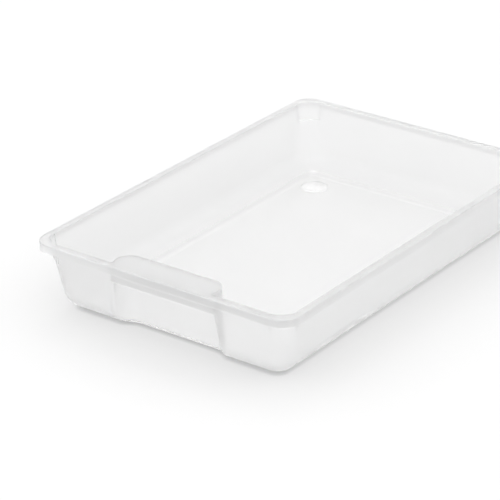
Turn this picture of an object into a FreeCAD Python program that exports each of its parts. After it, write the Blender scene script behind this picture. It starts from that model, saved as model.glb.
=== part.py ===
"""Clear drawer organizer tray with a finger pull at the front and four round foot pads.

Frame: millimetres, +Z up, origin on the surface that the tray stands on, under the tray's centre.
The long side runs along Y, and the finger pull is in the front wall, at -Y.
"""
import FreeCAD, Part
import math
import os

from FreeCAD import Vector

# Overall size
RIM_WIDTH = 254.0            # across the rim, along X
RIM_DEPTH = 388.0            # across the rim, along Y
TRAY_HEIGHT = 61.5           # underside of the floor to the top of the rim
WALL = 1.8                   # thickness of the side walls
FLOOR = 2.0                  # thickness of the floor

# Side walls: flat, leaning in toward the floor
WALL_INSET_TOP = 4.5         # rim edge to the wall's outer face, at the top of the rim
WALL_INSET_BASE = 14.2       # the same, at the underside of the floor
WALL_ROUNDING = 21.0         # outer rounding between the walls, and between walls and floor

# Rim: a flat flange with a lip that is turned down at its edge
RIM_CORNER = 16.0
FLANGE = 1.8                 # thickness of the flange
LIP = 1.6                    # thickness of the lip
LIP_HEIGHT = 7.2
RIM_EDGE_RADIUS = 0.7

# Stacking shoulders: the upper wall steps outward at each corner
SHOULDER_STEP = 1.2
SHOULDER_DEPTH = 15.5        # top of the rim to the inner ledge
SHOULDER_REACH = 22.0        # rim edge to the shoulder's end, along each side

# Finger pull: a round-ended pocket behind the front wall, open below the wall's header
PULL_WIDTH = 97.6            # width of the pocket under the flange, which roofs it
PULL_REACH = 26.6            # rim edge to the pocket's back face, under the flange
PULL_SETBACK = 3.5           # rim edge to the front of the pocket's round ends, under the flange
PULL_END_DRAFT = 4.0         # degrees, so that the pocket's ends spread downward
PULL_BACK_DRAFT = 1.5        # degrees, of the pocket's back face
PULL_MOUTH_RADIUS = 4.0      # outer rounding where the pocket opens through the wall and the floor
HEADER_HEIGHT = 17.5         # top of the rim to the header's lower edge

# Foot pads: soft discs seated in shallow round recesses under the floor
PAD_DIAMETER = 24.0
PAD_THICKNESS = 1.5
PAD_SEAT_DEPTH = 0.5
PAD_CLEARANCE = 0.2          # around the pad, in its recess
PAD_INSET_X = 47.0           # rim edge to the pad's centre
PAD_INSET_Y = 52.0

# Places that follow from the sizes above
BASE_Z = PAD_THICKNESS - PAD_SEAT_DEPTH
RIM_Z = BASE_Z + TRAY_HEIGHT
FRONT_Y = -RIM_DEPTH / 2
OVERRUN = 5.0                # how far cutting tools pass the faces that they cut

QUADRANTS = ((-1, -1), (1, -1), (1, 1), (-1, 1))


def face_of(points):
    """Flat face with straight sides."""
    return Part.Face(Part.makePolygon(points + points[:1]))


def quarter(centre, radius, x_sign, y_sign):
    """Quarter circle in one quadrant around centre, from its Y end to its X end."""
    start = centre + Vector(0, y_sign * radius, 0)
    middle = centre + Vector(x_sign, y_sign, 0) * (radius * math.sqrt(0.5))
    end = centre + Vector(x_sign * radius, 0, 0)
    return Part.Arc(start, middle, end).toShape()


def rounded_wire(x_min, x_max, y_min, y_max, radius, z):
    """Closed wire: a rectangle whose four corners are quarter circles."""
    edges = []
    for x_sign, y_sign in QUADRANTS:
        x = x_max - radius if x_sign > 0 else x_min + radius
        y = y_max - radius if y_sign > 0 else y_min + radius
        edges.append(quarter(Vector(x, y, z), radius, x_sign, y_sign))
    for index in range(4):
        end = index % 2
        here = edges[index].Vertexes[end].Point
        there = edges[(index + 1) % 4].Vertexes[end].Point
        if here.distanceToPoint(there) > 1e-6:
            edges.append(Part.makeLine(here, there))
    return Part.Wire(Part.sortEdges(edges)[0])


def rounded_rectangle(inset, radius, z):
    """Closed wire: the rim's plan moved in by inset, with rounded corners."""
    half_x = RIM_WIDTH / 2 - inset
    half_y = RIM_DEPTH / 2 - inset
    return rounded_wire(-half_x, half_x, -half_y, half_y, radius, z)


def prism(wire, height):
    return Part.Face(wire).extrude(Vector(0, 0, height))


def loft(lower, upper):
    return Part.makeLoft([lower, upper], True, True)


def edges_at(shape, z):
    """The edges that lie wholly at height z."""
    return [
        edge for edge in shape.Edges
        if abs(edge.BoundBox.ZMin - z) < 1e-4 and abs(edge.BoundBox.ZMax - z) < 1e-4
    ]


def wall_plan(z, offset):
    """Half width and half depth of the walls at height z, offset inward from their outer face."""
    share = (RIM_Z - z) / TRAY_HEIGHT
    inset = WALL_INSET_TOP + share * (WALL_INSET_BASE - WALL_INSET_TOP) + offset
    return RIM_WIDTH / 2 - inset, RIM_DEPTH / 2 - inset


def tapered_block(z_low, z_high, offset):
    """Sharp-edged block inside the leaning walls, offset inward from their outer face."""
    rings = []
    for z in (z_low, z_high):
        half_x, half_y = wall_plan(z, offset)
        rings.append([Vector(x_sign * half_x, y_sign * half_y, z) for x_sign, y_sign in QUADRANTS])
    lower, upper = rings
    faces = [face_of(lower[::-1]), face_of(upper)]
    for start in range(4):
        end = (start + 1) % 4
        faces.append(face_of([lower[start], lower[end], upper[end], upper[start]]))
    return Part.Solid(Part.Shell(faces))


def leaning_edges(block):
    return [edge for edge in block.Edges if edge.BoundBox.ZLength > 1]


def corner_boxes(z_low, z_high):
    """Four upright boxes that reach SHOULDER_REACH along both sides of each corner."""
    boxes = []
    for x_sign, y_sign in QUADRANTS:
        x_low = min(x_sign * RIM_WIDTH / 2, x_sign * (RIM_WIDTH / 2 - SHOULDER_REACH))
        y_low = min(y_sign * RIM_DEPTH / 2, y_sign * (RIM_DEPTH / 2 - SHOULDER_REACH))
        corner = Vector(x_low, y_low, z_low)
        boxes.append(Part.makeBox(SHOULDER_REACH, SHOULDER_REACH, z_high - z_low, corner))
    return boxes


def shoulders(offset, z_low, z_high):
    """The stepped-out corners of a body that is offset inward from the walls' outer face."""
    step_offset = offset - SHOULDER_STEP
    stepped = tapered_block(z_low, z_high, step_offset)
    stepped = stepped.makeFillet(WALL_ROUNDING - step_offset, leaning_edges(stepped))
    return [stepped.common(box) for box in corner_boxes(z_low, z_high)]


def pull_body(z_low, z_high, skin):
    """Round-ended body of the finger pull, grown by skin all round."""
    wires = []
    for z in (z_low, z_high):
        drop = RIM_Z - FLANGE - z
        spread = skin + drop * math.tan(math.radians(PULL_END_DRAFT))
        half_width = PULL_WIDTH / 2 + spread
        back = FRONT_Y + PULL_REACH + skin + drop * math.tan(math.radians(PULL_BACK_DRAFT))
        radius = (PULL_REACH - PULL_SETBACK) / 2 + spread
        wires.append(rounded_wire(-half_width, half_width, back - 2 * radius, back, radius, z))
    return loft(wires[0], wires[1])


def mouth_edges(shape, pull, top_z):
    """The edges around the opening that the pull's body has left in shape, below its top."""
    skin = pull.Shells[0]
    uses = {}
    for face in shape.Faces:
        u_low, u_high, v_low, v_high = face.ParameterRange
        middle = Part.Vertex(face.valueAt((u_low + u_high) / 2, (v_low + v_high) / 2))
        if skin.distToShape(middle)[0] < 1e-4:
            for edge in face.Edges:
                uses.setdefault(edge.hashCode(), []).append(edge)
    border = [edges[0] for edges in uses.values() if len(edges) == 1]
    return [edge for edge in border if edge.BoundBox.ZMin < top_z - 1]


def walled_body(z_low, z_high, offset):
    """Tapered body with the finger pull cut out of it, offset inward from the outer faces."""
    block = tapered_block(z_low, z_high, offset)
    rounded = leaning_edges(block) + edges_at(block, z_low)
    body = block.makeFillet(WALL_ROUNDING - offset, rounded)
    pull = pull_body(z_low - OVERRUN, z_high + OVERRUN, offset)
    body = body.cut(pull)
    return body.makeFillet(PULL_MOUTH_RADIUS - offset, mouth_edges(body, pull, z_high))


def rim():
    """The flange with its turned-down lip."""
    edge_wire = rounded_rectangle(0, RIM_CORNER, RIM_Z - LIP_HEIGHT)
    outside = prism(edge_wire, LIP_HEIGHT)
    outside = outside.makeFillet(RIM_EDGE_RADIUS, edges_at(outside, RIM_Z))
    gutter_wire = rounded_rectangle(LIP, RIM_CORNER - LIP, RIM_Z - LIP_HEIGHT - OVERRUN)
    gutter = prism(gutter_wire, LIP_HEIGHT + OVERRUN - FLANGE)
    return outside.cut(gutter)


def header():
    """Stretch of the front wall that is left in front of the finger pull, under the rim."""
    half_width = PULL_WIDTH / 2 + 2 * PULL_MOUTH_RADIUS
    z_low = RIM_Z - HEADER_HEIGHT
    z_high = RIM_Z - FLANGE / 2
    block = tapered_block(z_low, z_high, 0).cut(tapered_block(z_low - 1, z_high + 1, WALL))
    reach = WALL_INSET_BASE + WALL
    front = Part.makeBox(2 * half_width, reach, z_high - z_low, Vector(-half_width, FRONT_Y, z_low))
    return block.common(front)


def pad_places():
    """Node name and centre of each foot pad."""
    for y_sign, row in ((-1, "front"), (1, "rear")):
        for x_sign, side in ((-1, "left"), (1, "right")):
            x = x_sign * (RIM_WIDTH / 2 - PAD_INSET_X)
            y = y_sign * (RIM_DEPTH / 2 - PAD_INSET_Y)
            yield f"foot_pad_{row}_{side}", x, y


def tray():
    """The one-piece moulding."""
    ledge_z = RIM_Z - SHOULDER_DEPTH
    outside = walled_body(BASE_Z, RIM_Z, 0)
    outside = outside.multiFuse(shoulders(0, ledge_z - WALL, RIM_Z - FLANGE / 2) + [rim(), header()])
    inside = walled_body(BASE_Z + FLOOR, RIM_Z + OVERRUN, WALL)
    inside = inside.multiFuse(shoulders(WALL, ledge_z, RIM_Z + OVERRUN))
    body = outside.cut(inside)
    for _, x, y in pad_places():
        seat_radius = PAD_DIAMETER / 2 + PAD_CLEARANCE
        body = body.cut(Part.makeCylinder(seat_radius, PAD_SEAT_DEPTH, Vector(x, y, BASE_Z)))
    return body


def foot_pad(x, y):
    """Soft disc that stands a little below the floor."""
    return Part.makeCylinder(PAD_DIAMETER / 2, PAD_THICKNESS, Vector(x, y, 0))


def main():
    os.makedirs("parts", exist_ok=True)
    nodes = {"tray": tray()}
    for name, x, y in pad_places():
        nodes[name] = foot_pad(x, y)
    for name, shape in nodes.items():
        shape.exportStep(os.path.join("parts", name + ".step"))
        print(name, "solids", len(shape.Solids), "valid", shape.isValid(), "volume", round(shape.Volume))


main()
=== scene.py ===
"""Looks for the clear drawer organizer tray: moulded plastic, soft foot pads and a pale studio."""

import math

import bmesh
import bpy
from mathutils import Matrix, Vector


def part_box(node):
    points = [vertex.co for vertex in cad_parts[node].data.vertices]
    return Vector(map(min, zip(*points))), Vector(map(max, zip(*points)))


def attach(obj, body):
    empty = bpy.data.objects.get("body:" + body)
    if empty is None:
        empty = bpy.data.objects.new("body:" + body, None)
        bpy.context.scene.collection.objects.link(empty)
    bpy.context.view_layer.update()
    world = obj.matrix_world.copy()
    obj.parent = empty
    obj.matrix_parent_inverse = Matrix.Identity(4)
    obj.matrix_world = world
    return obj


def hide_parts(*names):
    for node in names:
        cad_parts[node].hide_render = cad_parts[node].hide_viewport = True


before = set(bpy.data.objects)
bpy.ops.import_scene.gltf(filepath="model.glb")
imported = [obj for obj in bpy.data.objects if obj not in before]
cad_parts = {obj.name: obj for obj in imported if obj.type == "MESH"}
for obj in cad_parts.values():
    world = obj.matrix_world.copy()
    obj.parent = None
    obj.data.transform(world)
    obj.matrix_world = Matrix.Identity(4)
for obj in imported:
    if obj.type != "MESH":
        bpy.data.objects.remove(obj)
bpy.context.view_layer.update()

# Camera: looks at the tray from the front right, far enough away to flatten its perspective
CAMERA_TURN = math.radians(35.899)       # from the tray's front, toward its right
CAMERA_RAISE = math.radians(25.234)
CAMERA_DISTANCE = 2.2377                 # to the tray's origin, along the view
FOCAL_SHARE = 5.2824                     # focal length over the sensor's width
SENSOR = 36.0
ORIGIN_OFF_CENTRE = (0.09336, 0.03298)   # of the frame's width: rightward, downward

# Light
HORIZON_STRENGTH = 1.2
ZENITH_STRENGTH = 0.55
KEY_STRENGTH = 0.3
KEY_FROM = Vector((-0.30, 0.45, 0.84))   # high up, behind the tray's left end
KEY_ANGLE = math.radians(17.0)

# Studio floor: white to the eye, with the tray's soft shade and a tighter line at its foot painted into its
# colour
FLOOR_SIZE = 30.0
FLOOR_BOUNCE = 0.8
FLOOR_LIFT = 0.18
PAINTED_SHADE_SAMPLES = 8
PAINTED_SHADE_REACH = 0.115
PAINTED_SHADE_DEPTH = 0.32
FOOT_PAINTED_SHADE_REACH = 0.004
FOOT_PAINTED_SHADE_DEPTH = 0.5
FLOOR_THROUGH_PLASTIC = 0.71             # share of plain white where the floor is seen through the tray

# Foot pads: moulded discs with rounded edges, clear of their seats by a hair
PAD_GAP = 0.00005
PAD_TOP_ROUNDING = 0.0002
PAD_FOOT_ROUNDING = 0.0007
PAD_SEGMENTS = 96
PAD_ROUNDING_SEGMENTS = 4
SAME_HEIGHT = 1e-6

# Plastics
REFRACTION = 1.42
TRAY_PASSES = 0.94                       # light that each clear surface passes on to what is behind it
PAD_PASSES = 0.95
TRAY_BENDS = 3.5                         # a ray that has bent more often than this goes straight on
PAD_BENDS = 5.5
TRAY_TRANSMISSION = 0.89
TRAY_TINT_CLOUDY = 0.97
TRAY_TINT_CLEAR = 1.0
TRAY_ROUGHNESS = 0.176                   # of its polished floor
WALL_ROUGHNESS_MORE = 0.1                # what the walls have beyond the floor
CLOUD_ROUGHNESS = 0.012
CLOUD_SCALE = 22.0
CLOUD_DETAIL = 4.0
WAVE_SCALE = 9.0
WAVE_DETAIL = 1.0
WAVE_STRENGTH = 0.1
WAVE_HEIGHT = 0.002
POLISHED_TOP = 0.0045                    # height up to which the plastic is as clear as the floor
PAD_TINT = 0.93
PAD_TRANSMISSION = 0.9
PAD_ROUGHNESS = 0.12
PAD_GRAIN_ROUGHNESS = 0.12
PAD_GRAIN_SCALE = 900.0
PAD_GRAIN_DETAIL = 2.0

# Colour sockets of a Mix node
MIX_FIRST = 6
MIX_SECOND = 7
MIX_RESULT = 2


class Socket:
    """A node's output, on which arithmetic adds Math nodes."""

    def __init__(self, shading, link):
        self.shading = shading
        self.link = link

    def _math(self, operation, first, second):
        return self.shading.node("ShaderNodeMath", {"operation": operation}, {0: first, 1: second})

    def __add__(self, other):
        return self._math("ADD", self, other)

    def __radd__(self, other):
        return self._math("ADD", other, self)

    def __sub__(self, other):
        return self._math("SUBTRACT", self, other)

    def __rsub__(self, other):
        return self._math("SUBTRACT", other, self)

    def __mul__(self, other):
        return self._math("MULTIPLY", self, other)

    def __rmul__(self, other):
        return self._math("MULTIPLY", other, self)

    def __gt__(self, other):
        return self._math("GREATER_THAN", self, other)

    def __lt__(self, other):
        return self._math("GREATER_THAN", other, self)


class Shading:
    """A node tree, filled by one method."""

    def __init__(self, tree):
        self.tree = tree
        self.tree.nodes.clear()

    def node(self, kind, settings=None, inputs=None, output=0):
        made = self.tree.nodes.new(kind)
        for name, value in (settings or {}).items():
            setattr(made, name, value)
        for name, value in (inputs or {}).items():
            if isinstance(value, Socket):
                self.tree.links.new(value.link, made.inputs[name])
            else:
                made.inputs[name].default_value = value
        if not made.outputs:
            return None
        return Socket(self, made.outputs[output])


def grey(level):
    return (level, level, level, 1.0)


def new_material(name):
    material = bpy.data.materials.new(name)
    material.use_nodes = True
    return material, Shading(material.node_tree)


def ray_is(shading, *kinds):
    """1 where the ray that arrives is of one of these kinds."""
    path = [shading.node("ShaderNodeLightPath", output=f"Is {kind} Ray") for kind in kinds]
    total = path[0]
    for other in path[1:]:
        total = total + other
    return total


def noise(shading, place, scale, detail):
    return shading.node("ShaderNodeTexNoise", {}, {"Vector": place, "Scale": scale, "Detail": detail})


def see_through(shading, body, passed, most_bends):
    """Ends the material: body to the eye, and a plain pane to light and to rays that have bent often."""
    pane = shading.node("ShaderNodeBsdfTransparent", {}, {"Color": grey(passed)})
    bends = shading.node("ShaderNodeLightPath", output="Ray Depth")
    straight = ray_is(shading, "Shadow", "Diffuse") + (bends > most_bends)
    surface = shading.node("ShaderNodeMixShader", {}, {0: straight, 1: body, 2: pane})
    shading.node("ShaderNodeOutputMaterial", {}, {"Surface": surface})


def clear_plastic():
    """Clear moulded plastic, slightly milky and wavy, cloudy in patches, duller above its polished floor."""
    material, shading = new_material("clear_plastic")
    place = shading.node("ShaderNodeTexCoord", output="Object")
    cloud = noise(shading, place, CLOUD_SCALE, CLOUD_DETAIL)
    waves = noise(shading, place, WAVE_SCALE, WAVE_DETAIL)
    height = shading.node("ShaderNodeSeparateXYZ", {}, {"Vector": place}, "Z")
    wall = height > POLISHED_TOP
    tint = shading.node(
        "ShaderNodeMix",
        {"data_type": "RGBA"},
        {"Factor": cloud, MIX_FIRST: grey(TRAY_TINT_CLOUDY), MIX_SECOND: grey(TRAY_TINT_CLEAR)},
        output=MIX_RESULT,
    )
    wavy = shading.node(
        "ShaderNodeBump", {}, {"Strength": WAVE_STRENGTH, "Distance": WAVE_HEIGHT, "Height": waves}, "Normal"
    )
    body = shading.node(
        "ShaderNodeBsdfPrincipled",
        {},
        {
            "Base Color": tint,
            "Roughness": TRAY_ROUGHNESS + CLOUD_ROUGHNESS * cloud + WALL_ROUGHNESS_MORE * wall,
            "IOR": REFRACTION,
            "Transmission Weight": TRAY_TRANSMISSION,
            "Normal": wavy,
        },
    )
    see_through(shading, body, TRAY_PASSES, TRAY_BENDS)
    return material


def pad_elastomer():
    """Soft clear elastomer, a little grainy."""
    material, shading = new_material("pad_elastomer")
    place = shading.node("ShaderNodeTexCoord", output="Object")
    grain = noise(shading, place, PAD_GRAIN_SCALE, PAD_GRAIN_DETAIL)
    body = shading.node(
        "ShaderNodeBsdfPrincipled",
        {},
        {
            "Base Color": grey(PAD_TINT),
            "Roughness": PAD_ROUGHNESS + PAD_GRAIN_ROUGHNESS * grain,
            "IOR": REFRACTION,
            "Transmission Weight": PAD_TRANSMISSION,
        },
    )
    see_through(shading, body, PAD_PASSES, PAD_BENDS)
    return material


def shade(shading, reach, depth):
    """Painted shade: darkens the floor's colour where something stands within reach above it."""
    open_sky = shading.node(
        "ShaderNodeAmbientOcclusion", {"samples": PAINTED_SHADE_SAMPLES}, {"Distance": reach}, "AO"
    )
    return 1.0 - (1.0 - open_sky) * depth


def studio_floor_paint():
    material, shading = new_material("studio_floor_paint")
    bounce = shading.node("ShaderNodeBsdfDiffuse", {}, {"Color": grey(FLOOR_BOUNCE)})
    # painted shade: the floor's colour is darkened where the tray stands over it, in a soft spread and a
    # tight line at its foot
    level = shade(shading, PAINTED_SHADE_REACH, PAINTED_SHADE_DEPTH) * shade(shading, FOOT_PAINTED_SHADE_REACH, FOOT_PAINTED_SHADE_DEPTH)
    paint = shading.node("ShaderNodeBsdfDiffuse", {}, {"Color": level})
    lift = shading.node("ShaderNodeEmission", {}, {"Color": grey(1.0), "Strength": FLOOR_LIFT})
    seen = shading.node("ShaderNodeAddShader", {}, {0: paint, 1: lift})
    white = shading.node("ShaderNodeEmission", {}, {"Color": grey(1.0), "Strength": 1.0})
    through = shading.node("ShaderNodeMixShader", {}, {0: FLOOR_THROUGH_PLASTIC, 1: seen, 2: white})
    direct = shading.node("ShaderNodeMixShader", {}, {0: ray_is(shading, "Camera"), 1: bounce, 2: seen})
    bent = ray_is(shading, "Transmission", "Glossy")
    surface = shading.node("ShaderNodeMixShader", {}, {0: bent, 1: direct, 2: through})
    shading.node("ShaderNodeOutputMaterial", {}, {"Surface": surface})
    return material


def studio_floor():
    bpy.ops.mesh.primitive_plane_add(size=FLOOR_SIZE)
    floor = bpy.context.object
    floor.name = "studio_floor"
    floor.data.materials.append(studio_floor_paint())


def sky():
    """Soft light from all round, stronger from the sides, and plain white where it is seen."""
    world = bpy.data.worlds.new("studio_sky")
    bpy.context.scene.world = world
    world.use_nodes = True
    shading = Shading(world.node_tree)
    direction = shading.node("ShaderNodeTexCoord", output="Generated")
    height = shading.node("ShaderNodeSeparateXYZ", {}, {"Vector": direction}, "Z")
    strength = HORIZON_STRENGTH - (HORIZON_STRENGTH - ZENITH_STRENGTH) * height
    light = shading.node("ShaderNodeBackground", {}, {"Color": grey(1.0), "Strength": strength})
    white = shading.node("ShaderNodeBackground", {}, {"Color": grey(1.0), "Strength": 1.0})
    seen = ray_is(shading, "Camera", "Transmission")
    surface = shading.node("ShaderNodeMixShader", {}, {0: seen, 1: light, 2: white})
    shading.node("ShaderNodeOutputWorld", {}, {"Surface": surface})


def key_light():
    data = bpy.data.lights.new("key_light", "SUN")
    data.angle = KEY_ANGLE
    data.energy = KEY_STRENGTH
    lamp = bpy.data.objects.new("key_light", data)
    bpy.context.scene.collection.objects.link(lamp)
    lamp.rotation_euler = KEY_FROM.to_track_quat("Z", "Y").to_euler()


def camera():
    data = bpy.data.cameras.new("camera")
    data.sensor_width = SENSOR
    data.lens = SENSOR * FOCAL_SHARE
    data.clip_end = 100.0
    view = bpy.data.objects.new("camera", data)
    bpy.context.scene.collection.objects.link(view)
    right = Vector((math.cos(CAMERA_TURN), math.sin(CAMERA_TURN), 0))
    forward = Vector((
        -math.sin(CAMERA_TURN) * math.cos(CAMERA_RAISE),
        math.cos(CAMERA_TURN) * math.cos(CAMERA_RAISE),
        -math.sin(CAMERA_RAISE),
    ))
    up = right.cross(forward)
    across = ORIGIN_OFF_CENTRE[0] / FOCAL_SHARE * CAMERA_DISTANCE
    down = ORIGIN_OFF_CENTRE[1] / FOCAL_SHARE * CAMERA_DISTANCE
    place = -forward * CAMERA_DISTANCE - right * across + up * down
    turn = Matrix((right, up, -forward)).transposed().to_4x4()
    view.matrix_world = Matrix.Translation(place) @ turn
    bpy.context.scene.camera = view


def rounded_rim(mesh, z, width):
    """Rounds the round edge at height z."""
    edges = [edge for edge in mesh.edges if all(abs(vertex.co.z - z) < SAME_HEIGHT for vertex in edge.verts)]
    bmesh.ops.bevel(
        mesh, geom=edges, offset=width, offset_type="OFFSET",
        segments=PAD_ROUNDING_SEGMENTS, profile=0.5,
        affect="EDGES", clamp_overlap=True, material=-1,
    )


def foot_pad(node_name, material):
    """Moulded disc in place of the plain one, with rounded edges."""
    low, high = (Vector(corner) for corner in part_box(node_name))
    top = high.z - PAD_GAP
    radius = (high.x - low.x) / 2
    centre = Vector(((low.x + high.x) / 2, (low.y + high.y) / 2, (low.z + top) / 2))
    mesh = bmesh.new()
    bmesh.ops.create_cone(
        mesh, cap_ends=True, segments=PAD_SEGMENTS, radius1=radius, radius2=radius,
        depth=top - low.z, matrix=Matrix.Translation(centre),
    )
    rounded_rim(mesh, low.z, PAD_FOOT_ROUNDING)
    rounded_rim(mesh, top, PAD_TOP_ROUNDING)
    data = bpy.data.meshes.new(node_name + "_disc")
    mesh.to_mesh(data)
    mesh.free()
    for polygon in data.polygons:
        polygon.use_smooth = True
    data.materials.append(material)
    pad = bpy.data.objects.new(node_name + "_disc", data)
    bpy.context.scene.collection.objects.link(pad)
    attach(pad, "root")
    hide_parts(node_name)


def dress(node, material):
    node.data.materials.clear()
    node.data.materials.append(material)


camera()
dress(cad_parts["tray"], clear_plastic())
elastomer = pad_elastomer()
for name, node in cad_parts.items():
    if name != "tray":
        dress(node, elastomer)
        foot_pad(name, elastomer)
studio_floor()
sky()
key_light()
bpy.context.scene.view_settings.view_transform = "Standard"
